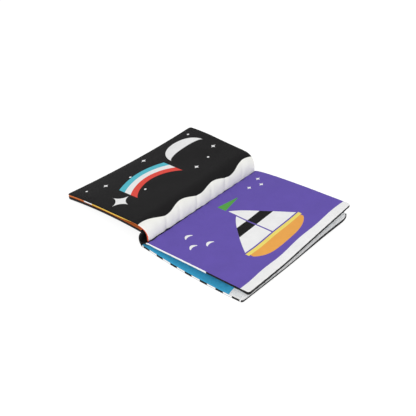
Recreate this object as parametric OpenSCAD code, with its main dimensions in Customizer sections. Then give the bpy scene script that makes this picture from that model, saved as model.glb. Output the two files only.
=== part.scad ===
// Soft cloth book, lying open at a spread of two printed pages

/* [Leaves] */
// Length of each leaf along the spine
page_length = 200; // [160:1:240]
// Width of a leaf from the gutter to its fore edge
page_width = 148; // [125:1:175]
// Thickness of a padded leaf away from its seams
leaf_thickness = 3.5; // [3.2:0.1:4.2]
// Thickness of a leaf at its sewn edges
seam_thickness = 3; // [2:0.1:3.2]
// Width over which the padding thins out towards a seam
seam_slope = 9; // [5:0.5:14]
// Radius of the outer corners of a leaf
corner_radius = 3.5; // [2:0.5:9]
// Thickness of a field of printed colour
print_thickness = 0.25; // [0.15:0.05:0.4]

/* [Spine] */
// Height of the upright spine strip
spine_height = 21.4; // [18:0.1:26]
// Thickness of the spine strip
spine_thickness = 2.2; // [1.6:0.1:3]
// How far the middle of the spine strip stands out beyond its ends
spine_bulge = 4.3; // [2.5:0.1:6]
// Clearance between pieces that are sewn or laid together
clearance = 0.4; // [0.3:0.05:0.6]

/* [Left half] */
// Height that the left leaf gains over the front cover at its near crest
near_crest_rise = 1.4; // [0.4:0.1:3]
// Height that the left leaf gains over the front cover at its far crest
far_crest_rise = 5.6; // [3:0.1:6.5]
// Distance from the gutter line to the crest of the left leaf
crest_distance = 14; // [12:0.5:18]
// Width of the left leaf that its near end spends on the climb out of the gutter
near_climb = 4; // [2:0.5:12]
// Width of the left leaf that its far end spends on the climb and on its lift
far_climb = 27; // [20:0.5:32]
// Height by which the far fore corner of the front cover is lifted off the table
far_lift = 14; // [6:0.5:16]
// Upward bow of the front cover at its near end
near_bow = 3; // [1:0.5:5]
// Upward bow of the front cover at its far end
far_bow = 4.5; // [2:0.5:7]
// Shift of the near fore corner towards the far end
near_skew = 11; // [0:0.5:14]
// Shift of the far fore corner beyond the far end
far_skew = 16.5; // [0:0.5:18]

/* [Right half] */
// Distance from the gutter line at which the right leaf comes out of the fold
right_leaf_start = 5; // [4:0.5:7]
// Height of the middle of the right leaf where it comes out of the fold
gutter_height = 9.3; // [8:0.1:11]
// Height of the right leaf at its near fore corner
near_fore_height = 18.5; // [12:0.5:22]
// Height of the right leaf at the lowest place of its fore edge
low_fore_height = 15; // [12:0.5:18]
// Height of the right leaf at its far fore corner
far_fore_height = 25.5; // [18:0.5:28]
// Height to which the far fore corner of the back cover curls up
back_corner_lift = 9; // [0:0.5:10]
// How far the near edge of the back cover bows out
near_edge_bow = 2.5; // [0:0.5:4]

/* [Hidden] */
$fn = 96;

half_length = page_length / 2;
art_scale = page_width / 148;
art_length = page_length / 200;

// Lines that the covers turn about
foot_axis_x = -4.6;
foot_axis_z = spine_thickness / 2;
head_axis_z = spine_height - spine_thickness / 2;
hinge_set_back = 1.3;
hinge_distance = -foot_axis_x + hinge_set_back;
hinge_z = spine_height + clearance + seam_thickness / 2;

// Shape of the padding: the share of its thickness gained in the first part of its slope
swell_width = 0.25;
swell_share = 0.66;
// Shape of the left half: distance over which the leaf settles onto the cover, and its lift off the table
settle_distance = 60;
lift_power = 2.2;
fore_clearance = 0.1;
// Shape of the fold: how square its shoulder is at each end, and how its padding thins towards its foot
near_fold_power = 2.5;
far_fold_power = 3;
foot_slope = 30;
fold_gap = 0.5;
// Shape of the right half: where its fore edge is lowest, and how fast the page rises from the gutter
low_place = -0.3;
near_edge_power = 2;
far_edge_power = 1.2;
near_page_power = 0.9;
far_page_power = 0.6;
gutter_drop = 2.4;
right_leaf_inner = -6.2;
foot_set_back = 2;
corner_lift_start = 0.7;
corner_lift_power = 1.3;
// A print stands this far off its panel, so that it clears the panel's flat facets
print_lift = 0.2;

function lerp(a, b, t) = a + (b - a) * t;
function clamp01(t) = max(0, min(1, t));
function smooth(t) = let (u = clamp01(t)) u * u * (3 - 2 * u);
// From 0 at the near end of the spine to 1 at its far end
function along(y) = clamp01((y + half_length) / page_length);

// Half the thickness of a leaf at a distance from its nearest seam
function half_thickness(d) =
    let (
        t = clamp01(d / seam_slope),
        swell = t < swell_width
            ? t / swell_width * swell_share
            : lerp(swell_share, 1, (t - swell_width) / (1 - swell_width))
    )
    lerp(seam_thickness, leaf_thickness, swell) / 2;
// How far a rounded corner draws the fore edge in, at a place along the leaf
function corner_inset(y) =
    let (d = max(0, corner_radius - half_length + abs(y)))
    corner_radius - sqrt(max(0, corner_radius * corner_radius - d * d));

// Left half: s is the distance to the left of the gutter line
function left_reach(y) = page_width - lerp(near_climb, far_climb, along(y));
function left_edge_distance(s, y) = min(left_reach(y) - corner_inset(y) - s, half_length - abs(y));
function left_skew(s, y) =
    lerp(near_skew, far_skew, along(y)) * (s - hinge_distance) / (left_reach(y) - hinge_distance);
function cover_half(s, y) =
    half_thickness(min(s - hinge_distance + spine_thickness / 3, left_edge_distance(s, y)));
function cover_z(s, y) =
    let (
        g = (s - hinge_distance) / (left_reach(y) - hinge_distance),
        fore = seam_thickness / 2 + fore_clearance + far_lift * pow(along(y), lift_power),
        bow = lerp(near_bow, far_bow, along(y))
    )
    lerp(hinge_z, fore, g) + bow * 4 * g * (1 - g);
function left_leaf_half(s, y) = half_thickness(left_edge_distance(s, y));
function left_leaf_z(s, y) =
    let (
        rise = lerp(near_crest_rise, far_crest_rise, along(y)),
        settle = clamp01((s - crest_distance) / settle_distance)
    )
    cover_z(s, y) + cover_half(s, y) + left_leaf_half(s, y) + clearance + rise * pow(1 - settle, 2);

// A point of the left half, off its middle surface by a distance along the normal
function left_point(s, y, height, offset) =
    let (slope = (height(s + 0.5, y) - height(s - 0.5, y)), n = sqrt(1 + slope * slope))
    [-s + offset * slope / n, y + left_skew(s, y), height(s, y) + offset / n];
function cover_point(s, y, side) =
    left_point(s, y, function (a, b) cover_z(a, b), side * cover_half(s, y));
function left_leaf_point(s, y, side, lift = 0) =
    left_point(s, y, function (a, b) left_leaf_z(a, b), side * left_leaf_half(s, y) + lift);

// Fold of the left leaf: t runs from its crest to its foot in the gutter
function fold_foot_x(y) = right_leaf_start - foot_set_back * along(y);
function fold_foot_z(y) =
    let (x = fold_foot_x(y) + seam_thickness / 2)
    right_leaf_z(x, y) + right_leaf_half(x, y) + clearance;
function fold_middle(t, y) =
    let (
        power = 2 / lerp(near_fold_power, far_fold_power, along(y)),
        width = fold_foot_x(y) + crest_distance,
        height = left_leaf_z(crest_distance, y) - fold_foot_z(y)
    )
    [-crest_distance + width * pow(sin(90 * t), power), fold_foot_z(y) + height * pow(cos(90 * t), power)];
function fold_point(t, y, side, lift = 0) =
    let (
        a = fold_middle(max(0, t - 0.01), y),
        b = fold_middle(min(1, t + 0.01), y),
        n = norm(b - a),
        d = side * half_thickness(min((1 - t) * foot_slope, half_length - abs(y))) + lift,
        p = fold_middle(t, y)
    )
    [p.x - (b.y - a.y) / n * d, y, p.y + (b.x - a.x) / n * d];

// Right leaf: x is the distance to the right of the gutter line
function right_reach(y) = page_width + right_leaf_start - foot_set_back;
function fore_height(y) =
    let (b = y / half_length)
    b < low_place
        ? lerp(low_fore_height, near_fore_height, pow((low_place - b) / (1 + low_place), near_edge_power))
        : lerp(low_fore_height, far_fore_height, pow((b - low_place) / (1 - low_place), far_edge_power));
function right_leaf_z(x, y) =
    let (
        q = clamp01((x - right_leaf_start) / (right_reach(y) - right_leaf_start)),
        root = smooth((x - right_leaf_inner) / (right_leaf_start - right_leaf_inner))
    )
    x < right_leaf_start
        ? lerp(gutter_height - gutter_drop, gutter_height, root)
        : lerp(gutter_height, fore_height(y), pow(q, lerp(near_page_power, far_page_power, along(y))));
function right_leaf_half(x, y) =
    half_thickness(min(x - right_leaf_inner, right_reach(y) - corner_inset(y) - x, half_length - abs(y)));
back_cover_inner = foot_axis_x + spine_thickness / 2 + clearance;
function back_cover_half(x, y) =
    half_thickness(min(x - back_cover_inner, page_width - corner_inset(y) - x, half_length - abs(y)));
// The back cover lies flat on the table but for its far fore corner
function back_cover_z(x, y) =
    let (
        b = clamp01((y / half_length - corner_lift_start) / (1 - corner_lift_start)),
        a = clamp01((x / page_width - corner_lift_start) / (1 - corner_lift_start))
    )
    back_cover_half(x, y) + back_corner_lift * pow(a * b, corner_lift_power);

// A point of the right half, off its middle surface by a distance along the normal
function right_point(x, y, height, offset) =
    let (slope = height(x + 0.5, y) - height(x - 0.5, y), n = sqrt(1 + slope * slope))
    [x - offset * slope / n, y, height(x, y) + offset / n];
function right_leaf_point(x, y, side, lift = 0) =
    right_point(x, y, function (a, b) right_leaf_z(a, b), side * right_leaf_half(x, y) + lift);
function back_cover_point(x, y, side, lift = 0) =
    let (g = clamp01(x / page_width), bow = near_edge_bow * 4 * g * (1 - g) * pow(1 - along(y), 2))
    right_point(x, y, function (a, b) back_cover_z(a, b), side * back_cover_half(x, y) + lift) - [0, bow, 0];

// Places of the grid along the spine: close together at the rounded corners
inner_rows = 7;
corner_rows = [for (a = [90, 45, 0]) corner_radius * (1 - sin(a))];
end_rows = concat(corner_rows, [max(seam_slope, corner_radius + 1)]);
row_places = concat(
    [for (d = end_rows) -half_length + d],
    [for (i = [1:inner_rows - 1])
        lerp(-half_length + end_rows[3], half_length - end_rows[3], i / inner_rows)],
    [for (i = [3:-1:0]) half_length - end_rows[i]]
);
// Fractions of the way from an inner edge to a fore edge
function steps(inner, outer, count, slope_in) =
    let (
        first = slope_in ? [inner, inner + seam_slope / 4, inner + seam_slope] : [inner],
        last = [outer - seam_slope, outer - seam_slope / 4, outer],
        from = first[len(first) - 1]
    )
    concat(first, [for (i = [1:count - 1]) lerp(from, last[0], i / count)], last);

// Closed sheet between two grids of points, with rows along +Y and columns along +X
module sheet(lower, upper) {
    rows = len(lower);
    cols = len(lower[0]);
    function id(layer, r, c) = (layer * rows + r) * cols + c;
    function quad(a, b, c, d) = [[a, b, c], [a, c, d]];
    top = [for (r = [0:rows - 2], c = [0:cols - 2])
        each quad(id(1, r, c), id(1, r + 1, c), id(1, r + 1, c + 1), id(1, r, c + 1))];
    bottom = [for (r = [0:rows - 2], c = [0:cols - 2])
        for (t = quad(id(0, r, c), id(0, r + 1, c), id(0, r + 1, c + 1), id(0, r, c + 1)))
            [t[0], t[2], t[1]]];
    ends = [for (c = [0:cols - 2]) each concat(
        quad(id(0, 0, c), id(1, 0, c), id(1, 0, c + 1), id(0, 0, c + 1)),
        quad(id(0, rows - 1, c + 1), id(1, rows - 1, c + 1), id(1, rows - 1, c), id(0, rows - 1, c))
    )];
    sides = [for (r = [0:rows - 2]) each concat(
        quad(id(0, r + 1, 0), id(1, r + 1, 0), id(1, r, 0), id(0, r, 0)),
        quad(id(0, r, cols - 1), id(1, r, cols - 1), id(1, r + 1, cols - 1), id(0, r + 1, cols - 1))
    )];
    polyhedron(
        points = concat([for (row = lower) each row], [for (row = upper) each row]),
        faces = concat(top, bottom, ends, sides),
        convexity = 6
    );
}

// One cloth panel of a leaf: side 1 is its upper half, side -1 its lower half
module panel(grid, side) {
    sheet(side > 0 ? grid(0) : grid(-1), side > 0 ? grid(1) : grid(0));
}

// Places of the columns across each leaf, from left to right in the plan
function to_the_left(distances) = [for (i = [len(distances) - 1:-1:0]) -distances[i]];
front_cover_columns = function (y)
    to_the_left(steps(hinge_distance, left_reach(y) - corner_inset(y), 9, true));
left_leaf_columns = function (y)
    to_the_left(steps(crest_distance + fold_gap, left_reach(y) - corner_inset(y), 9, false));
right_leaf_columns = function (y) steps(right_leaf_inner, right_reach(y) - corner_inset(y), 10, true);
back_cover_columns = function (y) steps(back_cover_inner, page_width - corner_inset(y), 9, true);
fold_steps = [0, 0.2, 0.36, 0.5, 0.64, 0.8, 1];

module front_cover_panel(side) {
    function grid(k) = [for (y = row_places) [for (x = front_cover_columns(y)) cover_point(-x, y, k)]];
    panel(function (k) grid(k), side);
}
module left_leaf_panel(side) {
    function grid(k) = [for (y = row_places) [for (x = left_leaf_columns(y)) left_leaf_point(-x, y, k)]];
    panel(function (k) grid(k), side);
}
module left_leaf_fold(side) {
    function grid(k) = [for (y = row_places) [for (t = fold_steps) fold_point(t, y, k)]];
    panel(function (k) grid(k), side);
}
module right_leaf_panel(side) {
    function grid(k) = [for (y = row_places) [for (x = right_leaf_columns(y)) right_leaf_point(x, y, k)]];
    panel(function (k) grid(k), side);
}
module back_cover_panel(side) {
    function grid(k) = [for (y = row_places) [for (x = back_cover_columns(y)) back_cover_point(x, y, k)]];
    panel(function (k) grid(k), side);
}

// Outline of the spine strip seen along the spine: an arc with round ends
module spine_outline() {
    half_chord = (head_axis_z - foot_axis_z) / 2;
    radius = (half_chord * half_chord + spine_bulge * spine_bulge) / (2 * spine_bulge);
    middle_z = foot_axis_z + half_chord;
    intersection() {
        translate([foot_axis_x - spine_bulge + radius, middle_z])
            difference() {
                circle(r = radius + spine_thickness / 2);
                circle(r = radius - spine_thickness / 2);
            }
        translate([foot_axis_x - 2 * radius, foot_axis_z])
            square([2 * radius, 2 * half_chord]);
    }
    for (z = [foot_axis_z, head_axis_z])
        translate([foot_axis_x, z])
            circle(r = spine_thickness / 2);
}

// Places along the spine for a printed motif, close together at its ends, or even
function round_places(y0, y1, rows) = [for (i = [0:rows]) lerp(y0, y1, (1 - cos(180 * i / rows)) / 2)];
function even_places(y0, y1, rows) = [for (i = [0:rows]) lerp(y0, y1, i / rows)];
// Curves x(y) that share out the width between two others
function between(left, right, cols) =
    [for (j = [0:cols]) function (y) lerp(left(y), right(y), j / cols)];

// Field of printed colour on a panel: a thin sheet with rows at the places and columns on the curves
module field(skin, places, curves) {
    function grid(lift) = [for (y = places) [for (curve = curves) skin(curve(y), y, lift)]];
    sheet(grid(print_lift), grid(print_lift + print_thickness));
}
// Disc, given its centre and radius
module disc_field(skin, centre, r) {
    tip = 0.985 * r;
    function half(y) = sqrt(r * r - pow(y - centre.y, 2));
    field(skin, round_places(centre.y - tip, centre.y + tip, 6),
        between(function (y) centre.x - half(y), function (y) centre.x + half(y), 2));
}
// Curved band between two radii about a centre, bulging towards the fore edge of the left page
module band_field(skin, centre, r_in, r_out, y0, y1) {
    field(skin, even_places(y0, y1, 14), between(
        function (y) centre.x - sqrt(r_out * r_out - pow(y - centre.y, 2)),
        function (y) centre.x - sqrt(r_in * r_in - pow(y - centre.y, 2)), 2));
}
// Star with four points, given its centre and half width
module star_field(skin, centre, r) {
    waist = 0.28;
    tip = 0.02;
    function edge(y) = let (d = abs(y - centre.y) / r)
        r * (d < waist ? lerp(1, waist, d / waist) : lerp(waist, tip, (d - waist) / (1 - waist)));
    places = [for (d = [-1, -waist, 0, waist, 1]) centre.y + d * r];
    field(skin, places, between(function (y) centre.x - edge(y), function (y) centre.x + edge(y), 2));
}

// A print lies on the facets of its panel, so its points are shared out between the panel's own
function last_below(list, value) = max([for (i = [0:len(list) - 2]) list[i] <= value ? i : 0]);
function on_panel(x, y, columns, point) =
    let (
        row = last_below(row_places, y),
        y0 = row_places[row],
        y1 = row_places[row + 1],
        t = (y - y0) / (y1 - y0),
        xs = lerp(columns(y0), columns(y1), t),
        col = last_below(xs, x),
        u = (x - xs[col]) / (xs[col + 1] - xs[col]),
        a = point(columns(y0)[col], y0),
        b = point(columns(y1)[col], y1),
        c = point(columns(y1)[col + 1], y1),
        d = point(columns(y0)[col + 1], y0)
    )
    t > u ? a + t * (b - a) + u * (c - b) : a + u * (d - a) + t * (c - d);
// Printed sides, called with x in the plan, y before the skew, and a lift
left_skin = function (x, y, lift)
    on_panel(x, y, left_leaf_columns, function (a, b) left_leaf_point(-a, b, 1, lift));
right_skin = function (x, y, lift)
    on_panel(x, y, right_leaf_columns, function (a, b) right_leaf_point(a, b, 1, lift));
back_skin = function (x, y, lift)
    on_panel(x, y, back_cover_columns, function (a, b) back_cover_point(a, b, 1, lift));
// The fold is called with the fraction of the way from its crest to its foot instead of x
fold_skin = function (t, y, lift)
    on_panel(t, y, function (b) fold_steps, function (a, b) fold_point(a, b, 1, lift));
function art(x, y) = [x * art_scale, y * art_length];

// Places of a band that runs the whole length of a page: the panel's rows, with the long ones shared out
page_margin = 1;
last_row = len(row_places) - 1;
band_places = concat(
    [-half_length + page_margin],
    [for (i = [1:last_row - 2])
        let (gap = row_places[i + 1] - row_places[i], parts = gap > seam_slope ? 4 : 1)
        each [for (k = [0:parts - 1]) row_places[i] + gap * k / parts]],
    [row_places[last_row - 1], half_length - page_margin]
);
// Curves of a band along a fore edge, from its wavy side out over the thinning of the padding
function fore_band(wave, reach) = [
    wave,
    function (y) lerp(wave(y), reach(y) - seam_slope, 0.5),
    function (y) reach(y) - seam_slope,
    function (y) reach(y) - seam_slope / 4,
    function (y) reach(y) - page_margin
];

// Left page: a night sky with a moon, small stars and a falling star with a striped tail
tail_centre = art(-22, -22);
tail_radius = 58 * art_scale;
tail_stripe = 9 * art_scale;
tail_near = -60 * art_length;
tail_far = 18 * art_length;
moon = art(-80, 56);
moon_radius = 30 * art_scale;
moon_hollow = 0.3;
moon_tip = 0.97 * moon_radius;
falling_star = art(-66, -77);
falling_star_half = 15 * art_scale;
// Wavy edge of the black page on the fold, as a fraction of the way from the crest to the foot
function page_edge(y) = lerp(fold_steps[2], fold_steps[3], 0.5 + 0.3 * sin(3.5 * 360 * along(y) + 200));

// Right page: a boat under sail on a white sea, with birds and a pennant
deck_x = 108 * art_scale;
boat_near = -46 * art_length;
boat_far = 54 * art_length;
mast_y = 6 * art_length;
sail_top_x = 38 * art_scale;
sail_gap = 2;
stripe_top_x = 68 * art_scale;
stripe_foot_x = 82 * art_scale;
rim_width = 5 * art_scale;
hull_depth = 17 * art_scale;
pennant_length = 30 * art_length;
pennant_height = 13 * art_scale;
sea_width = 12.4 * art_scale;
sea_wave = 0.8 * art_scale;
near_sail_drop = 14 * art_scale;
sail_stretch = 1.04;
sail_curve = 1.25;
hull_corner = 3;
hull_bilge = 0.7;
hull_end = 0.93;
pennant_drop = 3;
pennant_taper = 0.45;
bird_depth = 3 * art_scale;
bird_width = 4 * art_scale;
bird_sweep = 0.12;
bird_back_sweep = 0.05;
back_field_width = 18 * art_scale;
back_field_wave = 3 * art_scale;
function sea_edge(y) = right_reach(y) - sea_width + sea_wave * sin(3 * 360 * along(y) + 20);
function sail_edge(y) =
    let (t = y > mast_y ? (y - mast_y) / (boat_far - mast_y) : (mast_y - y) / (mast_y - boat_near))
    lerp(sail_top_x + (y > mast_y ? 0 : near_sail_drop), deck_x - sail_gap, pow(clamp01(t * sail_stretch), sail_curve));
// Places where the sail's edge reaches a given x, on the far or the near side of the mast
function sail_place(x, far) =
    let (
        top = sail_top_x + (far ? 0 : near_sail_drop),
        t = pow((x - top) / (deck_x - sail_gap - top), 1 / sail_curve) / sail_stretch
    )
    far ? lerp(mast_y, boat_far, t) : lerp(mast_y, boat_near, t);

module sail_part(x0, x1, far) {
    mast_gap = 1;
    tip = sail_place(x1, far) * 0.985;
    near_end = far ? mast_y + mast_gap : tip;
    far_end = far ? tip : mast_y - mast_gap;
    field(right_skin, even_places(near_end, far_end, 8),
        between(function (y) max(x0, sail_edge(y)), function (y) x1, 3));
}

module front_cover_outer_panel() {
    color("#2b2a2b") front_cover_panel(-1);
}
module front_cover_inner_panel() {
    color("#d9762f") front_cover_panel(1);
}
module left_leaf_lower_panel() {
    color("#e0b04a") left_leaf_panel(-1);
}
module left_leaf_upper_panel() {
    color("#2b2a2b") left_leaf_panel(1);
}
module left_leaf_fold_lower() {
    color("#e2664a") left_leaf_fold(-1);
}
module left_leaf_fold_upper() {
    color("#e9e9ea") left_leaf_fold(1);
}
module right_leaf_lower_panel() {
    color("#e9e9ea") right_leaf_panel(-1);
}
module right_leaf_upper_panel() {
    color("#6553a8") right_leaf_panel(1);
}
module back_cover_outer_panel() {
    color("#2b2a2b") back_cover_panel(-1);
}
module back_cover_inner_panel() {
    color("#3fa3cc") back_cover_panel(1);
}
module spine_strip() {
    color("#2b2a2b")
        translate([0, half_length, 0])
            rotate([90, 0, 0])
                linear_extrude(height = page_length)
                    spine_outline();
}
module left_page_white_print() {
    function moon_half(y) = sqrt(pow(moon_radius, 2) - pow(y - moon.y, 2));
    color("#e9e9ea") {
        band_field(left_skin, tail_centre, tail_radius, tail_radius + tail_stripe, tail_near, tail_far);
        field(left_skin, round_places(moon.y - moon_tip, moon.y + moon_tip, 14), between(
            function (y) moon.x - moon_half(y), function (y) moon.x - moon_hollow * moon_half(y), 2));
        star_field(left_skin, falling_star, falling_star_half);
        for (p = [art(-112, -62), art(-40, 34), art(-116, 8), art(-56, 82)])
            star_field(left_skin, p, 4.5 * art_scale);
        for (p = [art(-100, -30), art(-44, 60), art(-124, -84), art(-108, 84), art(-60, -40)])
            disc_field(left_skin, p, 1.6 * art_scale);
    }
}
module left_page_teal_print() {
    inner = tail_radius + tail_stripe;
    color("#5cc0d0")
        band_field(left_skin, tail_centre, inner, inner + tail_stripe, tail_near, tail_far);
}
module left_page_red_print() {
    color("#e5564b")
        band_field(left_skin, tail_centre, tail_radius - tail_stripe, tail_radius, tail_near, tail_far);
}
module left_fold_black_print() {
    crest_margin = 0.03;
    color("#2b2a2b")
        field(fold_skin, band_places, [
            function (y) crest_margin,
            function (y) fold_steps[1],
            function (y) fold_steps[2],
            function (y) page_edge(y)
        ]);
}
module right_page_white_print() {
    bird_half = 6 * art_length;
    color("#e9e9ea") {
        field(right_skin, band_places, fore_band(
            function (y) sea_edge(y), function (y) right_reach(y) - corner_inset(y)));
        for (far = [false, true]) {
            sail_part(0, stripe_top_x, far);
            sail_part(stripe_foot_x, deck_x - sail_gap, far);
        }
        for (p = [art(34, -62), art(52, -74), art(62, -56)])
            field(right_skin, even_places(p.y - bird_half, p.y + bird_half, 8), [
                function (y) p.x - bird_depth + bird_sweep * pow(y - p.y, 2),
                function (y) p.x - bird_depth + bird_width + bird_back_sweep * pow(y - p.y, 2)
            ]);
        for (p = [art(26, 62), art(34, 76), art(22, 84)])
            star_field(right_skin, p, 4 * art_scale);
    }
}
module right_page_black_print() {
    color("#2b2a2b")
        for (far = [false, true])
            sail_part(stripe_top_x, stripe_foot_x, far);
}
module right_page_orange_print() {
    middle = (boat_near + boat_far) / 2;
    half = (boat_far - boat_near) / 2;
    color("#ebab5a")
        field(right_skin, even_places(middle - hull_end * half, middle + hull_end * half, 16), between(
            function (y) deck_x + rim_width,
            function (y) deck_x + rim_width
                + hull_depth * pow(1 - pow(abs(y - middle) / half, hull_corner), hull_bilge),
            2
        ));
}
module right_page_yellow_print() {
    color("#eedd78")
        field(right_skin, even_places(boat_near, boat_far, 10),
            [function (y) deck_x, function (y) deck_x + rim_width]);
}
module right_page_green_print() {
    top = sail_top_x - pennant_drop;
    taper = pennant_taper * pennant_height / pennant_length;
    color("#5fa752")
        field(right_skin, even_places(mast_y, mast_y + pennant_length, 6), [
            function (y) top - pennant_height + taper * (y - mast_y),
            function (y) top - taper * (y - mast_y)
        ]);
}
module back_cover_white_print() {
    color("#e9e9ea")
        field(back_skin, band_places, fore_band(
            function (y) page_width - back_field_width - back_field_wave * sin(3 * 360 * along(y)),
            function (y) page_width - corner_inset(y)));
}

front_cover_outer_panel();
front_cover_inner_panel();
left_leaf_lower_panel();
left_leaf_upper_panel();
left_leaf_fold_lower();
left_leaf_fold_upper();
right_leaf_lower_panel();
right_leaf_upper_panel();
back_cover_outer_panel();
back_cover_inner_panel();
spine_strip();
left_page_white_print();
left_page_teal_print();
left_page_red_print();
left_fold_black_print();
right_page_white_print();
right_page_black_print();
right_page_orange_print();
right_page_yellow_print();
right_page_green_print();
back_cover_white_print();
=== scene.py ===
"""Soft cloth book lying open: padded printed leaves and covers round a soft spine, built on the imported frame.

Lengths in this script are millimetres, as in the part's source, and become metres when a mesh is made.
The spans of the bends, the floor, the lights and the camera are given in metres.
"""
import math

import bpy
import numpy as np
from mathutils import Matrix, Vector


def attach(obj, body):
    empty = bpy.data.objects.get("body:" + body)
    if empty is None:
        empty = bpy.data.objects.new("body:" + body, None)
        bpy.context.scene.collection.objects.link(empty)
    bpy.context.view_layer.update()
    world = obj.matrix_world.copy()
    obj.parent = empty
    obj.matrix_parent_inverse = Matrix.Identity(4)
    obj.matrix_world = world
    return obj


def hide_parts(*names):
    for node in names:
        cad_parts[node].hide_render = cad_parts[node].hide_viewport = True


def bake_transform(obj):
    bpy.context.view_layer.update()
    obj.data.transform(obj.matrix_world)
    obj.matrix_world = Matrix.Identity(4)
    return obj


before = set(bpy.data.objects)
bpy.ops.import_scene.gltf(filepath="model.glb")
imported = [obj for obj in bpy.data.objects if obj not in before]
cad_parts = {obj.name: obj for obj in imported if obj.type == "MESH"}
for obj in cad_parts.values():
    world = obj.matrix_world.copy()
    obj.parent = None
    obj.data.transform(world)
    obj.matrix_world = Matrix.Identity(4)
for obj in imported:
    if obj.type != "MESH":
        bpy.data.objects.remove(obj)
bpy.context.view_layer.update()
MM = 0.001

# Sizes, mostly as in the part's source. A few were measured again after it
PAGE_LENGTH, PAGE_WIDTH = 200.0, 148.0
HALF_LENGTH = PAGE_LENGTH / 2
LEAF_THICKNESS, SEAM_THICKNESS, SEAM_SLOPE = 3.5, 3.0, 9.0
CORNER_RADIUS = 3.5
SPINE_HEIGHT, SPINE_THICKNESS, SPINE_BULGE = 21.4, 2.2, 4.3
CLEARANCE = 0.4
NEAR_CREST_RISE, FAR_CREST_RISE, CREST_DISTANCE = 2.4, 5.6, 14.0
NEAR_CLIMB, FAR_CLIMB, FAR_LIFT = 4.0, 27.0, 14.0
NEAR_BOW, FAR_BOW, NEAR_SKEW, FAR_SKEW = 3.0, 4.5, 11.0, 16.5
RIGHT_LEAF_START, GUTTER_HEIGHT = 5.0, 9.3
NEAR_FORE_HEIGHT, LOW_FORE_HEIGHT, FAR_FORE_HEIGHT = 18.5, 15.0, 25.5
FORE_LIFT, CURL_LENGTH, CURL_HEIGHT, NEAR_EDGE_BOW = 4.6, 10.0, 6.5, 3.2
LIFT_START, LIFT_LENGTH, LIFT_FROM, FORE_LIFT_POWER = -30, 100, 0.6, 1.5
CURL_FROM, CURL_SHARE, CURL_FULLNESS = 0.75, 0.22, 0.998
FOOT_SET_BACK, NEAR_FOOT_SET_BACK, FOOT_SINK = 2, 2.8, 0.6  # where the fold's foot lies in the gutter
NEAR_CORNER_REACH, GUTTER_DROP, GROOVE_WIDTH = 5.5, 2.4, 4.5
NEAR_FOLD_POWER, FAR_FOLD_POWER = 2.5, 3.0
NEAR_PAGE_POWER, FAR_PAGE_POWER = 0.9, 0.6
SWELL_PLACE, SWELL_SHARE = 0.25, 0.66  # most of a leaf's swelling comes within this share of the slope
COVER_REST, LIFT_POWER, CREST_RUNOUT = 0.1, 2.2, 60
LOWEST_PLACE, NEAR_RISE_POWER, FAR_RISE_POWER = -0.3, 2, 1.2  # along the right leaf's fore edge
FOOT_X, FOOT_Z = -4.6, SPINE_THICKNESS / 2
HEAD_Z = SPINE_HEIGHT - SPINE_THICKNESS / 2
HINGE_DISTANCE = -FOOT_X + 1.3
HINGE_Z = SPINE_HEIGHT + CLEARANCE + SEAM_THICKNESS / 2
RIGHT_LEAF_INNER = -6.2
BACK_COVER_INNER = FOOT_X + SPINE_THICKNESS / 2 + CLEARANCE
SEAM_RISE = 1.25  # a pouch's seam lies this far above the middle of its edge
TOP_ROUND, BOTTOM_ROUND = 1.6, 0.5  # the two cloths of a pouch round over to the seam within these distances


def lerp(a, b, t):
    return a + (b - a) * t


def clamp01(t):
    return np.clip(t, 0.0, 1.0)


def smooth(t):
    u = clamp01(t)
    return u * u * (3 - 2 * u)


def along(y):
    return clamp01((y + HALF_LENGTH) / PAGE_LENGTH)


def half_thickness(d):
    """Half the thickness of a leaf at a distance from its seam."""
    t = clamp01(d / SEAM_SLOPE)
    first, rest = t / SWELL_PLACE * SWELL_SHARE, (t - SWELL_PLACE) / (1 - SWELL_PLACE)
    swell = np.where(t < SWELL_PLACE, first, lerp(SWELL_SHARE, 1.0, rest))
    return lerp(SEAM_THICKNESS, LEAF_THICKNESS, swell) / 2


def rounding(d, width):
    """From 0 at the seam to 1 at that distance, along a quarter of a circle."""
    return np.sqrt(np.maximum(0.0, 1 - (1 - clamp01(d / width)) ** 2))


def corner_inset(y):
    d = np.maximum(0.0, CORNER_RADIUS - HALF_LENGTH + np.abs(y))
    return CORNER_RADIUS - np.sqrt(np.maximum(0.0, CORNER_RADIUS**2 - d * d))


# Middle surfaces of the leaves and covers
def left_reach(y):
    return PAGE_WIDTH - lerp(NEAR_CLIMB, FAR_CLIMB, along(y))


def left_skew(s, y):
    return lerp(NEAR_SKEW, FAR_SKEW, along(y)) * (s - HINGE_DISTANCE) / (left_reach(y) - HINGE_DISTANCE)


def cover_z(s, y):
    g = (s - HINGE_DISTANCE) / (left_reach(y) - HINGE_DISTANCE)
    fore = SEAM_THICKNESS / 2 + COVER_REST + FAR_LIFT * along(y) ** LIFT_POWER
    return lerp(HINGE_Z, fore, g) + lerp(NEAR_BOW, FAR_BOW, along(y)) * 4 * g * (1 - g)


def left_leaf_z(s, y):
    """Middle of the left leaf, which lies on the front cover and rises over it towards the crest."""
    rise = lerp(NEAR_CREST_RISE, FAR_CREST_RISE, along(y))
    edge = np.minimum(left_reach(y) - corner_inset(y) - s, HALF_LENGTH - np.abs(y))
    cover_edge = np.minimum(s - HINGE_DISTANCE + SPINE_THICKNESS / 3, edge)
    halves = half_thickness(cover_edge) + half_thickness(edge)
    over_crest = (1 - clamp01((s - CREST_DISTANCE) / CREST_RUNOUT)) ** 2
    return cover_z(s, y) + halves + CLEARANCE + rise * over_crest


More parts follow.
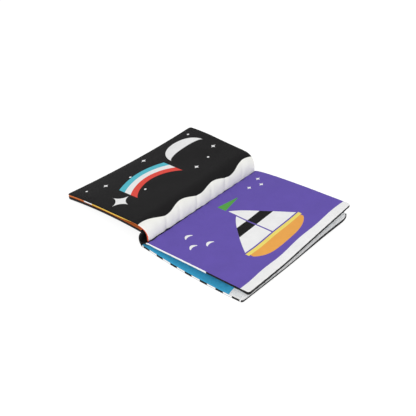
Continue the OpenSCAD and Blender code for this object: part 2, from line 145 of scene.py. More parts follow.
def fore_height(y):
    """Height of the right leaf's fore edge, which is lowest at one place and rises to both ends."""
    b = y / HALF_LENGTH
    to_near = np.maximum(0, LOWEST_PLACE - b) / (1 + LOWEST_PLACE)
    to_far = np.maximum(0, b - LOWEST_PLACE) / (1 - LOWEST_PLACE)
    near = lerp(LOW_FORE_HEIGHT, NEAR_FORE_HEIGHT, to_near ** NEAR_RISE_POWER)
    far = lerp(LOW_FORE_HEIGHT, FAR_FORE_HEIGHT, to_far ** FAR_RISE_POWER)
    return np.where(b < LOWEST_PLACE, near, far)


def right_reach(y):
    return PAGE_WIDTH + RIGHT_LEAF_START - FOOT_SET_BACK + NEAR_CORNER_REACH * (1 - along(y)) ** 3


def right_leaf_z(x, y):
    q = clamp01((x - RIGHT_LEAF_START) / (right_reach(y) - RIGHT_LEAF_START))
    root = smooth((x - RIGHT_LEAF_INNER) / (RIGHT_LEAF_START - RIGHT_LEAF_INNER))
    page = lerp(GUTTER_HEIGHT, fore_height(y), q ** lerp(NEAR_PAGE_POWER, FAR_PAGE_POWER, along(y)))
    return np.where(x < RIGHT_LEAF_START, lerp(GUTTER_HEIGHT - GUTTER_DROP, GUTTER_HEIGHT, root), page)


def lifted(y):
    """From 0 to 1 along the part of the back cover's fore edge that rises from the table."""
    return smooth((y - LIFT_START) / LIFT_LENGTH)


def back_cover_lift(x, y):
    """The far half of the fore edge lies a little above the table, and its far corner curls up."""
    g = x / PAGE_WIDTH
    lying = FORE_LIFT * lifted(y) * clamp01((g - LIFT_FROM) / (1 - LIFT_FROM)) ** FORE_LIFT_POWER
    within = clamp01((y - HALF_LENGTH + CURL_LENGTH) / CURL_LENGTH)
    curl = CURL_HEIGHT * (1 - np.sqrt(1 - CURL_FULLNESS * within**2))
    return lying + curl * smooth((g - CURL_FROM) / CURL_SHARE)


def back_cover_bow(x, y):
    g = clamp01(x / PAGE_WIDTH)
    return NEAR_EDGE_BOW * 4 * g * (1 - g) * (1 - along(y)) ** 2


def fold_foot(y):
    """Where the left leaf's fold ends in the gutter."""
    return lerp(RIGHT_LEAF_START - NEAR_FOOT_SET_BACK, RIGHT_LEAF_START - FOOT_SET_BACK, along(y))


def groove(x, y):
    """From 0 in the gutter's stitch line to 1 where the right leaf's padding is full."""
    return rounding(x - fold_foot(y) - CLEARANCE, GROOVE_WIDTH)


def fold_middle(t, y):
    """Fold of the left leaf, from its crest at t = 0 to its foot in the gutter at t = 1."""
    power = 2 / lerp(NEAR_FOLD_POWER, FAR_FOLD_POWER, along(y))
    foot_x = fold_foot(y)
    foot_z = right_leaf_z(foot_x, y) - FOOT_SINK
    height = left_leaf_z(np.array(CREST_DISTANCE), y) - foot_z
    x = -CREST_DISTANCE + (foot_x + CREST_DISTANCE) * np.sin(math.pi / 2 * t) ** power
    return x, foot_z + height * np.cos(math.pi / 2 * t) ** power


# Unevenness of real cloth
def ripples(seed, count, shortest, longest):
    """A smooth uneven field, about 1 high, as a sum of waves whose directions and lengths vary."""
    draw = np.random.default_rng(seed)
    turn = draw.uniform(0, math.pi, count)
    step = 2 * math.pi / np.exp(draw.uniform(math.log(shortest), math.log(longest), count))
    start = draw.uniform(0, 2 * math.pi, count)

    def height(u, v):
        total = np.zeros(np.broadcast(u, v).shape)
        for a, k, p in zip(turn, step, start):
            total = total + np.sin(k * (u * math.cos(a) + v * math.sin(a)) + p)
        return total / math.sqrt(count / 2)

    return height


def puckers(seed, spacing):
    """Small gathers along a seam, as an uneven wave of the distance along it."""
    draw = np.random.default_rng(seed)
    lengths = spacing * draw.uniform(0.7, 1.6, 5)
    starts = draw.uniform(0, 2 * math.pi, 5)

    def height(w):
        return sum(np.sin(2 * math.pi * w / n + p) for n, p in zip(lengths, starts)) / 2.2

    return height


# Grids and meshes
END_PLACES = [0, 0.06, 0.22, 0.48, 0.9, 1.5, 2.3, 3.4, 5.0, 7.0, 9.0]


def end_places(length, spacing):
    """Places from 0 to length, close together at both ends, where a pouch rounds over to its seam."""
    last = END_PLACES[-1]
    count = max(2, round((length - 2 * last) / spacing))
    middle = np.linspace(last, length - last, count + 1)[1:-1]
    return np.concatenate([END_PLACES, middle, length - np.array(END_PLACES[::-1])])


ROWS = end_places(PAGE_LENGTH, 1.6) - HALF_LENGTH


def normals_of(grid):
    """Unit normals of a grid of points, (rows, columns, 3), pointing up."""
    across = np.gradient(grid, axis=1)
    down = np.gradient(grid, axis=0)
    n = np.cross(across, down)
    return n / np.maximum(np.linalg.norm(n, axis=2, keepdims=True), 1e-9)


def pouch(name, middle, edge, half, page, materials, rise=SEAM_RISE, belly=0.0):
    """Closed pouch of two cloths from a grid of middle points.

    edge holds their distances from the seam, half their half thicknesses and page their page coordinates.
    rise is the seam's height over the middle, and belly is how much fuller the lower cloth is.
    """
    rows, cols = half.shape
    n = normals_of(middle)
    top = middle + n * lerp(rise, half, rounding(edge, TOP_ROUND))[..., None]
    bottom = middle + n * lerp(rise, -half - belly, rounding(edge, BOTTOM_ROUND))[..., None]
    inner = np.zeros((rows, cols), bool)
    inner[1:-1, 1:-1] = True
    index_top = np.arange(rows * cols).reshape(rows, cols)
    index_bottom = index_top.copy()
    index_bottom[inner] = rows * cols + np.arange(inner.sum())
    points = np.concatenate([top.reshape(-1, 3), bottom[inner]]) * MM
    coords = np.concatenate([page.reshape(-1, 2), page[inner]])

    def quads(ids, flip):
        a, b, c, d = ids[:-1, :-1], ids[:-1, 1:], ids[1:, 1:], ids[1:, :-1]
        q = np.stack([a, b, c, d] if not flip else [a, d, c, b], -1)
        return q.reshape(-1, 4)

    faces = np.concatenate([quads(index_top, False), quads(index_bottom, True)])
    mesh = bpy.data.meshes.new(name)
    mesh.from_pydata(points.tolist(), [], faces.tolist())
    layer = mesh.uv_layers.new(name="Page")
    layer.data.foreach_set("uv", coords[faces.ravel()].astype(np.float32).ravel())
    slots = np.zeros(len(faces), np.int32)
    slots[len(faces) // 2:] = 1
    for m in materials:
        mesh.materials.append(m)
    mesh.polygons.foreach_set("material_index", slots)
    mesh.polygons.foreach_set("use_smooth", np.ones(len(faces), bool))
    mesh.update()
    piece = bpy.data.objects.new(name, mesh)
    bpy.context.scene.collection.objects.link(piece)
    return piece


# Numbers that vary over a cloth, as shader nodes
class Num:
    """A node socket with arithmetic, so that a print can be written as a formula."""

    def __init__(self, tree, socket):
        self.tree, self.socket = tree, socket

    def node(self, operation, *others):
        made = self.tree.nodes.new("ShaderNodeMath")
        made.operation = operation
        for place, value in zip(made.inputs, (self, *others)):
            if isinstance(value, Num):
                self.tree.links.new(value.socket, place)
            else:
                place.default_value = value
        return Num(self.tree, made.outputs[0])

    def __add__(self, other):
        return self.node("ADD", other)

    __radd__ = __add__

    def __sub__(self, other):
        return self.node("SUBTRACT", other)

    def __rsub__(self, other):
        return self.node("MULTIPLY", -1.0).node("ADD", other)

    def __mul__(self, other):
        return self.node("MULTIPLY", other)

    def __abs__(self):
        return self.node("ABSOLUTE")

    def __pow__(self, other):
        return self.node("POWER", other)

    def high(self, other):
        return self.node("MAXIMUM", other)

    def low(self, other):
        return self.node("MINIMUM", other)

    def sin(self):
        return self.node("SINE")

    def clamped(self):
        made = self.node("ADD", 0.0)
        made.socket.node.use_clamp = True
        return made


INK_EDGE = 0.16  # a print's edge fades over this distance
STAR_POWER = 0.58  # the lower, the thinner the points of a star


def inside(distance):
    """1 inside a shape and 0 outside, given the signed distance to its outline."""
    return (0.5 - distance * (1 / INK_EDGE)).clamped()


def turn(v, cycles, degrees=0.0):
    """Angle in radians at a place along the page, which has so many cycles from end to end."""
    k = 2 * math.pi * cycles / PAGE_LENGTH
    return v * k + (k * HALF_LENGTH + math.radians(degrees))


def disc(u, v, centre, radius):
    du, dv = u - centre[0], v - centre[1]
    return (du * du + dv * dv) ** 0.5 - radius


def star(u, v, centre, radius):
    du, dv = abs(u - centre[0]), abs(v - centre[1])
    return (du ** STAR_POWER + dv ** STAR_POWER) ** (1 / STAR_POWER) - radius


def colour_of(rgb):
    return (*rgb, 1.0)


def srgb(text):
    """Linear colour of a six-digit code."""
    parts = [int(text[i:i + 2], 16) / 255 for i in (0, 2, 4)]
    return tuple(c / 12.92 if c <= 0.04045 else ((c + 0.055) / 1.055) ** 2.4 for c in parts)


BLACK = srgb("151415")
WHITE = srgb("eeeeee")
WARM_WHITE = srgb("e9e9e3")
PURPLE = srgb("6553ac")
TEAL = srgb("55bccd")
RED = srgb("e34b40")
ORANGE = srgb("eaa650")
YELLOW = srgb("eedb6e")
GREEN = srgb("56a148")
BLUE = srgb("3fa6cf")
OCHRE = srgb("e2bb4c")
# Painted shade for the groove at the fold's foot
GROOVE_SHADE_INDIGO = srgb("352f5c")
BROWN_ORANGE = srgb("c96f35")
RED_ORANGE = srgb("e0593c")

WEAVE_PITCH = 0.42


def cloth(name, base, prints=()):
    """Woven printed cloth. prints are pairs of a mask, as a function of the page's u and v, and a colour."""
    material = bpy.data.materials.new(name)
    material.use_nodes = True
    tree = material.node_tree
    tree.nodes.clear()
    link = tree.links.new
    out = tree.nodes.new("ShaderNodeOutputMaterial")
    shader = tree.nodes.new("ShaderNodeBsdfPrincipled")
    link(shader.outputs[0], out.inputs["Surface"])
    page = tree.nodes.new("ShaderNodeUVMap")
    page.uv_map = "Page"
    split = tree.nodes.new("ShaderNodeSeparateXYZ")
    link(page.outputs[0], split.inputs[0])
    u, v = Num(tree, split.outputs[0]), Num(tree, split.outputs[1])

    def noise(scale, detail, roughness=0.5):
        made = tree.nodes.new("ShaderNodeTexNoise")
        link(page.outputs[0], made.inputs["Vector"])
        made.inputs["Scale"].default_value = scale
        made.inputs["Detail"].default_value = detail
        made.inputs["Roughness"].default_value = roughness
        return Num(tree, made.outputs["Fac"])

    def mix(mask, first, second):
        made = tree.nodes.new("ShaderNodeMix")
        made.data_type = "RGBA"
        sockets = [s for s in made.inputs if s.enabled]
        for place, value in zip(sockets, (mask, first, second)):
            if isinstance(value, Num):
                link(value.socket, place)
            elif isinstance(value, bpy.types.NodeSocket):
                link(value, place)
            else:
                place.default_value = value
        return [s for s in made.outputs if s.enabled][0]

    colour = colour_of(base)
    for mask, ink in prints:
        colour = mix(mask(u, v), colour, colour_of(ink))
    if not isinstance(colour, bpy.types.NodeSocket):
        colour = mix(noise(0.5, 2.0) * 0.05, colour, colour_of([c * 0.8 for c in base]))
    # Threads: warp and weft cross every half pitch, and the yarn varies a little in tone
    k = 2 * math.pi / WEAVE_PITCH
    warp, weft = (u * k).sin(), (v * k).sin()
    threads = warp * weft
    blotches = noise(0.045, 3.0, 0.6)
    slubs = noise(1.7, 3.0, 0.65)
    tone = (blotches - 0.5) * 0.16 + (slubs - 0.5) * 0.12 + threads * 0.03 + 1.0
    shade = tree.nodes.new("ShaderNodeVectorMath")
    shade.operation = "SCALE"
    link(colour, shade.inputs[0])
    link(tone.socket, shade.inputs["Scale"])
    link(shade.outputs[0], shader.inputs["Base Color"])
    rough = slubs * 0.12 + 0.66
    link(rough.socket, shader.inputs["Roughness"])
    shader.inputs["Sheen Weight"].default_value = 0.02
    shader.inputs["Sheen Roughness"].default_value = 0.5
    shader.inputs["Specular IOR Level"].default_value = 0.12
    # Relief: threads, the grain of the yarn and the soft unevenness of the padding
    soft = noise(0.16, 2.0)
    relief = threads * 0.05 + slubs * 0.10 + soft * 0.35
    bump = tree.nodes.new("ShaderNodeBump")
    bump.inputs["Strength"].default_value = 0.55
    bump.inputs["Distance"].default_value = 1.0 * MM
    link(relief.socket, bump.inputs["Height"])
    link(bump.outputs[0], shader.inputs["Normal"])
    return material


# Prints
TAIL_CENTRE, TAIL_RADIUS, TAIL_STRIPE = (-22.0, -22.0), 58.0, 9.0
TAIL_NEAR, TAIL_FAR = -60.0, 18.0
MOON, MOON_RADIUS, MOON_HOLLOW = (-80.0, 56.0), 30.0, 0.3
DECK_X, BOAT_NEAR, BOAT_FAR, MAST_Y, SAIL_TOP = 108.0, -46.0, 54.0, 6.0, 38.0
SAIL_CURVE, SAIL_STRETCH, NEAR_SAIL_DROP = 1.25, 1.04, 14
HULL_DEPTH, RIM_WIDTH, PENNANT_LENGTH, PENNANT_DEPTH = 17, 5, 30, 13
# The last of these is how far the painted shade of the groove reaches up the fold from its foot
SEA_WIDTH, BACK_FIELD_WIDTH, GROOVE_SHADE_MARGIN = 12.6, 18, 2.4
DASH_PITCH, DASH_START = 22.6, 3.77
SAIL_FOOT = DECK_X - 2  # the sails end just above the deck
SAIL_MARGIN, FAR_AWAY = 1, 200
BOAT_MIDDLE, BOAT_HALF = (BOAT_NEAR + BOAT_FAR) / 2, (BOAT_FAR - BOAT_NEAR) / 2
BIRDS = ((34, -62), (52, -74), (62, -56))
# How far the black at the gutter reaches from the spine: beyond the fold's foot it is painted shade along the
# valley
GUTTER_PRINT_AND_SHADE_EDGE, GUTTER_SLANT = 5.2, 2
CLOUD_EDGE, CLOUD_NEAR_WIDTH = -1.5, 9
SEA_EDGE = PAGE_WIDTH + RIGHT_LEAF_START - FOOT_SET_BACK - SEA_WIDTH
SEA_WAVE, SEA_FAR_SHIFT, SEA_NEAR_SHIFT = 0.6, 2.0, 6.0
BACK_FIELD_WAVE = 3
UNDER_BORDER_WIDTH, UNDER_BORDER_START = 2.5, 95.0
DASH_EXTRA, DASH_TOP, DASH_BOTTOM = 0.12, 0.012, 0.22
DASH_SLOPE, WALL_SLOPE = 3.6, 20  # these turn the wave's height and the wall's page coordinate into distances

fold_foot_fit = [0.0, 0.0, 0.0]  # where the fold ends in page coordinates, as a parabola along the spine


def near_share(v):
    """1 at the near end of the page and 0 at its far end."""
    return (0.5 - v * (1 / PAGE_LENGTH)).high(0.0)


def far_share(v):
    return (v * (1 / PAGE_LENGTH) + 0.5).high(0.0)


def cloud_band(u, v):
    near = near_share(v) ** 5 * -CLOUD_NEAR_WIDTH
    edge = turn(v, 3.5, 200).sin() * 2.7 + turn(v, 1.5, 60).sin() * 1.3 + near + CLOUD_EDGE
    return inside(edge - u)


def painted_groove_shade(u, v):
    """Painted shade: a dark indigo margin at the fold's foot, where the groove into the gutter lies in shade;
    its place follows the length of the fold.
    """
    foot = v * fold_foot_fit[1] + v * v * fold_foot_fit[0] + fold_foot_fit[2]
    return inside(foot - GROOVE_SHADE_MARGIN - u)


def tail_band(order):
    """A stripe of the falling star's tail: order -1 is the inner one, 0 the middle and 1 the outer."""
    def mask(u, v):
        middle = TAIL_RADIUS + TAIL_STRIPE * (order + 0.5)
        ring = abs(disc(u, v, TAIL_CENTRE, middle)) - TAIL_STRIPE / 2
        ends = abs(v - (TAIL_NEAR + TAIL_FAR) / 2) - (TAIL_FAR - TAIL_NEAR) / 2
        return inside(ring.high(ends).high(u - TAIL_CENTRE[0]))
    return mask


def moon(u, v):
    dv = v - MOON[1]
    half = (MOON_RADIUS**2 - dv * dv).high(0.0) ** 0.5
    return inside(disc(u, v, MOON, MOON_RADIUS).high(u - MOON[0] + half * MOON_HOLLOW))


def scattered(shape, places, radius):
    def mask(u, v):
        distance = shape(u, v, places[0], radius)
        for p in places[1:]:
            distance = distance.low(shape(u, v, p, radius))
        return inside(distance)
    return mask


# The indigo strip at the fold's foot is painted shade in the gutter groove
LEFT_PRINTS = [
    (tail_band(1), TEAL), (tail_band(0), WHITE), (tail_band(-1), RED),
    (cloud_band, WARM_WHITE), (moon, WHITE), (painted_groove_shade, GROOVE_SHADE_INDIGO),
    (scattered(star, [(-66, -77)], 15), WHITE),
    (scattered(star, [(-112, -62), (-40, 34), (-116, 8), (-56, 82)], 4.5), WHITE),
    (scattered(disc, [(-100, -30), (-44, 60), (-124, -84), (-108, 84), (-60, -40)], 1.6), WHITE),
]


def sea(u, v):
    far = far_share(v) ** 6 * SEA_FAR_SHIFT
    near = near_share(v) ** 3 * SEA_NEAR_SHIFT
    edge = turn(v, 3, 20).sin() * SEA_WAVE + far + near + SEA_EDGE
    return inside(edge - u)


def sails(x0, x1):
    def mask(u, v):
        far = (v - MAST_Y) * (SAIL_STRETCH / (BOAT_FAR - MAST_Y))
        near = (v - MAST_Y) * (-SAIL_STRETCH / (MAST_Y - BOAT_NEAR))
        far_edge = far.high(0.0).low(1.0) ** SAIL_CURVE * (SAIL_FOOT - SAIL_TOP) + SAIL_TOP
        near_top = SAIL_TOP + NEAR_SAIL_DROP
        near_edge = near.high(0.0).low(1.0) ** SAIL_CURVE * (SAIL_FOOT - near_top) + near_top
        edge = far_edge.high(near_edge - (v - MAST_Y).node("GREATER_THAN", 0.0) * FAR_AWAY)
        beyond = (abs(v - BOAT_MIDDLE) - BOAT_HALF + SAIL_MARGIN) * 4
        return inside((edge - u).high(x0 - u).high(u - x1).high(1.0 - abs(v - MAST_Y)).high(beyond))
    return mask


def hull(u, v):
    away = abs(v - BOAT_MIDDLE)
    depth = (1.0 - (away * (1 / BOAT_HALF)).low(1.0) ** 3) ** 0.7 * HULL_DEPTH
    top = DECK_X + RIM_WIDTH
    return inside((u - top - depth).high(top - u).high(away - 0.95 * BOAT_HALF))


def rim(u, v):
    return inside((abs(u - DECK_X - RIM_WIDTH / 2) - RIM_WIDTH / 2).high(abs(v - BOAT_MIDDLE) - BOAT_HALF))


def pennant(u, v):
    taper = (v - MAST_Y) * 0.195
    top = SAIL_TOP - 3
    along_it = abs(v - MAST_Y - PENNANT_LENGTH / 2) - PENNANT_LENGTH / 2
    return inside((u + taper - top).high(top - PENNANT_DEPTH + taper - u).high(along_it))


def birds(u, v):
    distance = None
    for x, y in BIRDS:
        square = (v - y) * (v - y)
        one = (u - (x + 1) - square * 0.05).high(x - 3 + square * 0.12 - u).high(abs(v - y) - 6)
        distance = one if distance is None else distance.low(one)
    return inside(distance)


# Black at the gutter: partly the page's own dark print under the fold's foot, and partly painted shade,
# reaching past the foot as a dark line along the valley
def gutter(u, v):
    return inside(u + v * (GUTTER_SLANT / PAGE_LENGTH) - GUTTER_PRINT_AND_SHADE_EDGE)


RIGHT_PRINTS = [
    (gutter, BLACK),
    (sea, WHITE), (sails(SAIL_TOP, SAIL_FOOT), WHITE), (sails(68, 82), BLACK),
    (hull, ORANGE), (rim, YELLOW), (pennant, GREEN), (birds, WHITE),
    (scattered(star, [(26, 62), (34, 76), (22, 84)], 4), WHITE),
]


def stripe(u0, u1):
    """A band across the page between two distances from the gutter."""
    return lambda u, v: inside(abs(u - (u0 + u1) / 2) - (u1 - u0) / 2)


LEFT_UNDER_PRINTS = [
    (stripe(-170, -111), BROWN_ORANGE), (stripe(-111, -95.5), WHITE),
    (stripe(-22, -9), BROWN_ORANGE), (stripe(-9, 40), RED_ORANGE),
]


def right_under_border(u, v):
    """Dark border round the fore half of the right leaf's under page."""
    to_edge = (HALF_LENGTH - abs(v)).low(right_reach(0) - u)
    return inside((to_edge - UNDER_BORDER_WIDTH).high(UNDER_BORDER_START - u))


RIGHT_UNDER_PRINTS = [(right_under_border, BLACK), (stripe(-20, 3), BLACK)]


def back_inner(u, v):
    edge = turn(v, 3).sin() * -BACK_FIELD_WAVE + (PAGE_WIDTH - BACK_FIELD_WIDTH)
    return inside(edge - u)


def dashes(u, v):
    """White dashes along the walls of the back cover's near and far edges, between its seam and the table."""
    wave = (u * (2 * math.pi / DASH_PITCH) + DASH_START).sin() + DASH_EXTRA
    below_seam = HALF_LENGTH - abs(v)
    above, below = (DASH_TOP - below_seam) * WALL_SLOPE, (below_seam - DASH_BOTTOM) * WALL_SLOPE
    return inside((wave * -DASH_SLOPE).high(above).high(below))


# Left leaf, one cloth pouch from the fore edge to the gutter
def smoothed(path, sigma):
    """A path of even steps, smoothed by a bell of that width, with its ends kept."""
    step = np.linalg.norm(path[1] - path[0])
    reach = int(3 * sigma / step)
    bell = np.exp(-0.5 * (np.arange(-reach, reach + 1) * step / sigma) ** 2)
    bell /= bell.sum()
    before = 2 * path[0] - path[reach:0:-1]
    after = 2 * path[-1] - path[-2:-reach - 2:-1]
    long = np.concatenate([before, path, after])
    return np.stack([np.convolve(long[:, k], bell, "valid") for k in range(path.shape[1])], 1)


def resampled(path, places):
    arc = np.concatenate([[0], np.cumsum(np.linalg.norm(np.diff(path, axis=0), axis=1))])
    return np.stack([np.interp(places * arc[-1], arc, path[:, k]) for k in range(path.shape[1])], 1), arc[-1]


LEFT_CLOTH = 160.0  # about the width of the left leaf's cloth, with its fold
LEAF_STEPS, FOLD_STEPS, PATH_STEPS = 260, 90, 420
CREST_SOFTNESS, CREST_SPREAD, SKEW_RUNOUT = 3.2, 14.0, 20
DRAWN_IN, DRAWN_IN_POWER, DRAWN_IN_LENGTH = 4.0, 5, 22  # the fold's near end, along the spine
SEWN_SHARE, FOOT_ROUND = 0.25, 6.0  # share of its thickness that a leaf keeps where it is sewn down
LEFT_UNEVEN, RIGHT_UNEVEN, UNEVEN_FROM_SEAM = 0.22, 0.25, 14
SEAM_GATHER, RIGHT_FORE_GATHER, GATHER_FADE, GATHER_START = 0.12, 0.15, 6.0, 3
LEFT_STITCH_GATHER, RIGHT_STITCH_GATHER, STITCH_SPREAD = 0.35, 0.4, 7.0
CREST_THINNING = 1.7  # the near wall of the left leaf is thinner at its crest
# Creases that run from the gutter up the fold, and on into the page: place along the spine, depth and width
FOLD_CREASES = ((47, 2.125, 2.6), (-6, 1.875, 2.8), (80, 1.125, 3.2), (-62, 1.25, 3.6),
                (20, 0.875, 2.4), (-38, 0.875, 2.6))
PAGE_CREASES = ((47, 0.9, 3.0), (-6, 0.9, 3.2), (-62, 0.6, 4.0))
FOLD_CREASE_SLANT, PAGE_CREASE_SLANT = 0.35, 0.6


def hump(d, width):
    """1 where d is 0, and almost 0 beyond twice the width."""
    return np.exp(-((d / width) ** 2))


def fading(d, length):
    return np.exp(-d / length)


def at_seam(gathers, distance, edge):
    """Gathers that are strongest near one seam and end at every seam."""
    return gathers * fading(distance, GATHER_FADE) * clamp01(edge / GATHER_START)


def left_leaf_row(y, shares):
    """One row across the left leaf: its x and z, the distances along the cloth, and the crest's distance."""
    s = np.linspace(float(left_reach(y) - corner_inset(y)), CREST_DISTANCE, LEAF_STEPS)
    fold_x, fold_z = fold_middle(np.linspace(0, 1, FOLD_STEPS)[1:], y)
    x = np.concatenate([-s, fold_x])
    z = np.concatenate([left_leaf_z(s, y), fold_z])
    path, length = resampled(np.stack([x, z], 1), np.linspace(0, 1, PATH_STEPS))
    arc = np.linspace(0, length, len(path))
    crest = np.interp(-CREST_DISTANCE, path[:, 0], arc)
    near_crest = hump(arc - crest, CREST_SPREAD)[:, None]
    path = path * (1 - near_crest) + smoothed(path, CREST_SOFTNESS) * near_crest
    xz, length = resampled(path, shares)
    arc = shares * length
    return xz, arc, np.interp(-CREST_DISTANCE, xz[:, 0], arc)


def left_leaf_lift(u, v, seam, to_foot):
    """Soft unevenness, gathers at the seams, and creases that run from the gutter up the fold."""
    gather = puckers(11, 9.0)
    uneven = ripples(3, 14, 34, 120)
    lift = LEFT_UNEVEN * uneven(u, v) * clamp01((-u - 10) / 30) * clamp01(seam / UNEVEN_FROM_SEAM)
    lift += SEAM_GATHER * at_seam(gather(u), HALF_LENGTH - np.abs(v), seam)
    lift += SEAM_GATHER * at_seam(gather(v + 40), np.abs(u[:, :1] - u), seam)
    for y, depth, width in FOLD_CREASES:
        lift -= depth * hump(v - y + (u + 2) * FOLD_CREASE_SLANT, width) * hump(u - 5, 10.0)
    stitched = puckers(31, 14.0)
    return lift + LEFT_STITCH_GATHER * stitched(v) * hump(to_foot, STITCH_SPREAD)


def make_left_leaf():
    columns = 96
    shares = end_places(LEFT_CLOTH, LEFT_CLOTH / columns) / LEFT_CLOTH
    to_foot = ((1 - shares) * LEFT_CLOTH)[None, :]
    middle = np.zeros((len(ROWS), len(shares), 3))
    seam = np.zeros((len(ROWS), len(shares)))
    page = np.zeros((len(ROWS), len(shares), 2))
    for r, y in enumerate(ROWS):
        xz, arc, crest = left_leaf_row(y, shares)
        x = xz[:, 0]
        over_fold = left_skew(CREST_DISTANCE, y) * clamp01(1 - (arc - crest) / SKEW_RUNOUT)
        skew = np.where(x < -CREST_DISTANCE, left_skew(-x, y), over_fold)
        drawn_in = DRAWN_IN * (1 - along(y)) ** DRAWN_IN_POWER * smooth((arc - crest) / DRAWN_IN_LENGTH)
        middle[r] = np.stack([x, y + skew + drawn_in, xz[:, 1]], 1)
        seam[r] = np.minimum(np.minimum(arc, arc[-1] - arc), HALF_LENGTH - abs(y))
        u = np.where(arc < crest, x, -CREST_DISTANCE + (arc - crest))
        page[r] = np.stack([u, np.full_like(u, y)], 1)
    fold_foot_fit[:] = np.polyfit(ROWS, page[:, -1, 0], 2)
    u, v = page[..., 0], page[..., 1]
    half = half_thickness(seam) * lerp(SEWN_SHARE, 1.0, rounding(to_foot, FOOT_ROUND))
    middle += normals_of(middle) * left_leaf_lift(u, v, seam, to_foot)[..., None]
    return pouch("left_leaf", middle, seam, half, page, [
        cloth("left_page_cloth", BLACK, LEFT_PRINTS),
        cloth("left_under_cloth", OCHRE, LEFT_UNDER_PRINTS)],
        belly=-CREST_THINNING * hump(u + 22, 13) * fading(HALF_LENGTH + v, 8.0))


def make_front_cover():
    shares = end_places(140.0, 2.0) / 140.0
    inner = HINGE_DISTANCE - 1.6
    s = inner + (left_reach(ROWS) - corner_inset(ROWS) - inner)[:, None] * shares[::-1][None, :]
    y = np.broadcast_to(ROWS[:, None], s.shape)
    middle = np.stack([-s, y + left_skew(s, y), cover_z(s, y)], -1)
    edge = np.minimum(np.minimum(s - inner, (left_reach(y) - corner_inset(y)) - s), HALF_LENGTH - np.abs(y))
    half = half_thickness(edge)
    page = np.stack([-s, y], -1)
    return pouch("front_cover", middle, edge, half, page, [
        cloth("front_cover_inner_cloth", BROWN_ORANGE),
        cloth("front_cover_outer_cloth", BLACK)],
        rise=SEAM_THICKNESS / 2 + 0.25, belly=0.7 * fading(HALF_LENGTH + y, 9.0))


def right_leaf_lift(x, y, edge, reach):
    """Soft unevenness, gathers at the seams, and the fold's deepest creases, which run on into this page."""
    uneven = ripples(5, 16, 36, 140)
    gather = puckers(21, 9.0)
    open_page = clamp01((x - 12) / 25)
    lift = RIGHT_UNEVEN * uneven(x, y) * open_page * clamp01(edge / UNEVEN_FROM_SEAM)
    lift += SEAM_GATHER * at_seam(gather(x), HALF_LENGTH - np.abs(y), edge) * open_page
    lift += RIGHT_FORE_GATHER * at_seam(gather(y + 17), reach - x, edge)
    stitched = puckers(33, 15.0)
    lift += RIGHT_STITCH_GATHER * stitched(y) * hump(x - fold_foot(y) - 3, STITCH_SPREAD) * clamp01(x / 4)
    for place, depth, width in PAGE_CREASES:
        lift -= depth * hump(y - place + PAGE_CREASE_SLANT * (x - 4), width) * hump(x - 8, 12.0)
    return lift


def make_right_leaf():
    shares = end_places(157.0, 2.0) / 157.0
    reach = (right_reach(ROWS) - corner_inset(ROWS))[:, None]
    x = RIGHT_LEAF_INNER + (reach - RIGHT_LEAF_INNER) * shares[None, :]
    y = np.broadcast_to(ROWS[:, None], x.shape)
    z = right_leaf_z(x, y)
    for _ in range(6):
        z[:, 1:-1] = (z[:, :-2] + 2 * z[:, 1:-1] + z[:, 2:]) / 4
    edge = np.minimum(np.minimum(x - RIGHT_LEAF_INNER, reach - x), HALF_LENGTH - np.abs(y))
    swell = groove(x, y)
    half = half_thickness(edge) * lerp(SEWN_SHARE, 1.0, swell)
    z = z - 1.3 * (1 - swell)
    lift = right_leaf_lift(x, y, edge, reach)
    middle = np.stack([x, y + 1.2 * clamp01(y / HALF_LENGTH) ** 2, z + lift], -1)
    page = np.stack([x, y], -1)
    return pouch("right_leaf", middle, edge, half, page, [
        cloth("right_page_cloth", PURPLE, RIGHT_PRINTS),
        cloth("right_under_cloth", WHITE, RIGHT_UNDER_PRINTS)],
        rise=SEAM_RISE + 0.2, belly=(0.2 + 1.0 * (1 - along(y))) * fading(reach - x, 9.0))


def make_back_cover():
    shares = end_places(151.0, 2.0) / 151.0
    inner = BACK_COVER_INNER - 0.9
    reach = (PAGE_WIDTH - corner_inset(ROWS))[:, None]
    x = inner + (reach - inner) * shares[None, :]
    y = np.broadcast_to(ROWS[:, None], x.shape)
    edge = np.minimum(np.minimum(x - inner, reach - x), HALF_LENGTH - np.abs(y))
    # The padding rests flat on the table, and is a little fuller at the near edge, where it bulges
    half = half_thickness(edge) + 0.45 * fading(HALF_LENGTH + y, 8.0)
    rest = np.maximum(half, SEAM_THICKNESS / 2)
    middle = np.stack([x, y - back_cover_bow(x, y), rest + back_cover_lift(x, y)], -1)
    page = np.stack([x, y], -1)
    return pouch("back_cover", middle, edge, half, page, [
        cloth("back_cover_inner_cloth", BLUE, [(back_inner, WHITE)]),
        cloth("back_cover_outer_cloth", BLACK, [(dashes, WHITE)])],
        rise=SEAM_THICKNESS / 2 + 0.2, belly=1.2 * lifted(y) * fading(reach - x, 8.0))


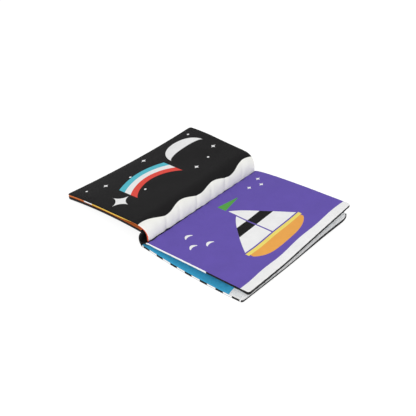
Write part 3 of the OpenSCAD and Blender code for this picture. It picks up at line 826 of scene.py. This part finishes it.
def make_spine():
    """Soft strip whose section is an arc with round ends, with the cloth drawn in at its two ends."""
    half_chord = (HEAD_Z - FOOT_Z) / 2
    radius = (half_chord**2 + SPINE_BULGE**2) / (2 * SPINE_BULGE)
    reach = math.asin(half_chord / radius)
    arc = radius * 2 * reach
    ends = end_places(arc + SPINE_THICKNESS, 0.8)
    place = ends / (arc + SPINE_THICKNESS)
    angle = lerp(-reach, reach, place) * (1 + SPINE_THICKNESS / arc)
    x = FOOT_X - SPINE_BULGE + radius - radius * np.cos(angle)
    z = FOOT_Z + half_chord + radius * np.sin(angle)
    across = np.broadcast_to(ends[None, :], (len(ROWS), len(ends)))
    y = np.broadcast_to(ROWS[:, None], across.shape)
    edge = np.minimum(np.minimum(across, arc + SPINE_THICKNESS - across), HALF_LENGTH - np.abs(y))
    half = np.full(edge.shape, SPINE_THICKNESS / 2)
    middle = np.stack([np.broadcast_to(x, across.shape), y, np.broadcast_to(z, across.shape)], -1)
    page = np.stack([across - 200, y], -1)
    return pouch("spine", middle, edge, half, page, [
        cloth("spine_inner_cloth", BLACK),
        cloth("spine_outer_cloth", BLACK)], rise=0.0)


left_leaf = make_left_leaf()
front_cover = make_front_cover()
right_leaf = make_right_leaf()
back_cover = make_back_cover()
spine = make_spine()

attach(spine, "spine_and_right_leaf")
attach(right_leaf, "spine_and_right_leaf")
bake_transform(left_leaf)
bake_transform(front_cover)
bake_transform(back_cover)

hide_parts("left_leaf_upper_panel", "left_leaf_lower_panel", "left_leaf_fold_upper",
            "left_leaf_fold_lower", "left_fold_black_print", "left_page_white_print",
            "left_page_teal_print", "left_page_red_print")
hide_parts("front_cover_outer_panel", "front_cover_inner_panel")
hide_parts("right_leaf_upper_panel", "right_leaf_lower_panel", "right_page_white_print",
            "right_page_black_print", "right_page_orange_print", "right_page_yellow_print",
            "right_page_green_print")
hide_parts("back_cover_outer_panel", "back_cover_inner_panel", "back_cover_white_print")
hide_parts("spine_strip")

# Floor, light and camera
FLOOR_PLACE = -0.0002  # just under the book, so that no two faces lie in one plane
floor_mesh = bpy.data.meshes.new("floor")
floor_mesh.from_pydata([(-3, -3, 0), (3, -3, 0), (3, 3, 0), (-3, 3, 0)], [], [(0, 1, 2, 3)])
floor = bpy.data.objects.new("floor", floor_mesh)
floor.location = (0, 0, FLOOR_PLACE)
bpy.context.scene.collection.objects.link(floor)
floor_material = bpy.data.materials.new("floor")
floor_material.use_nodes = True
floor_shader = floor_material.node_tree.nodes["Principled BSDF"]
floor_shader.inputs["Base Color"].default_value = (0.22, 0.22, 0.22, 1)
floor_shader.inputs["Roughness"].default_value = 0.9
floor_shader.inputs["Specular IOR Level"].default_value = 0.1
floor_shader.inputs["Emission Color"].default_value = (1, 1, 1, 1)
floor_shader.inputs["Emission Strength"].default_value = 0.88
floor_mesh.materials.append(floor_material)


def area_light(name, place, aim, size, power):
    data = bpy.data.lights.new(name, "AREA")
    data.shape = "SQUARE"
    data.size = size
    data.energy = power
    light = bpy.data.objects.new(name, data)
    light.location = place
    light.rotation_euler = (Vector(aim) - Vector(place)).to_track_quat("-Z", "Y").to_euler()
    bpy.context.scene.collection.objects.link(light)


area_light("key", (0.7, -1.3, 1.4), (0, 0, 0), 0.8, 12)
area_light("low", (1.6, -0.2, 0.45), (0, 0, 0), 1.0, 6)

world = bpy.data.worlds.new("studio")
world.use_nodes = True
background = world.node_tree.nodes["Background"]
background.inputs["Color"].default_value = (1, 1, 1, 1)
background.inputs["Strength"].default_value = 0.74
bpy.context.scene.world = world
bpy.context.scene.view_settings.view_transform = "Standard"

AZIMUTH, ELEVATION = math.radians(41.02), math.radians(35.48)
DISTANCE, TARGET = 1.244, Vector((-0.004, 0.012, 0.0))
PICTURE, FOCAL, CENTRE_X, CENTRE_Y = 416, 1000.0, -3.26, -2.35
SENSOR = 36.0
camera_data = bpy.data.cameras.new("camera")
camera_data.sensor_width = SENSOR
camera_data.lens = FOCAL / PICTURE * SENSOR
camera_data.shift_x = -CENTRE_X / PICTURE
camera_data.shift_y = CENTRE_Y / PICTURE
camera_data.clip_start, camera_data.clip_end = 0.05, 20
camera = bpy.data.objects.new("camera", camera_data)
back = Vector((math.sin(AZIMUTH) * math.cos(ELEVATION), -math.cos(AZIMUTH) * math.cos(ELEVATION),
               math.sin(ELEVATION)))
camera.location = TARGET + back * DISTANCE
camera.rotation_euler = (-back).to_track_quat("-Z", "Y").to_euler()
bpy.context.scene.collection.objects.link(camera)
bpy.context.scene.camera = camera
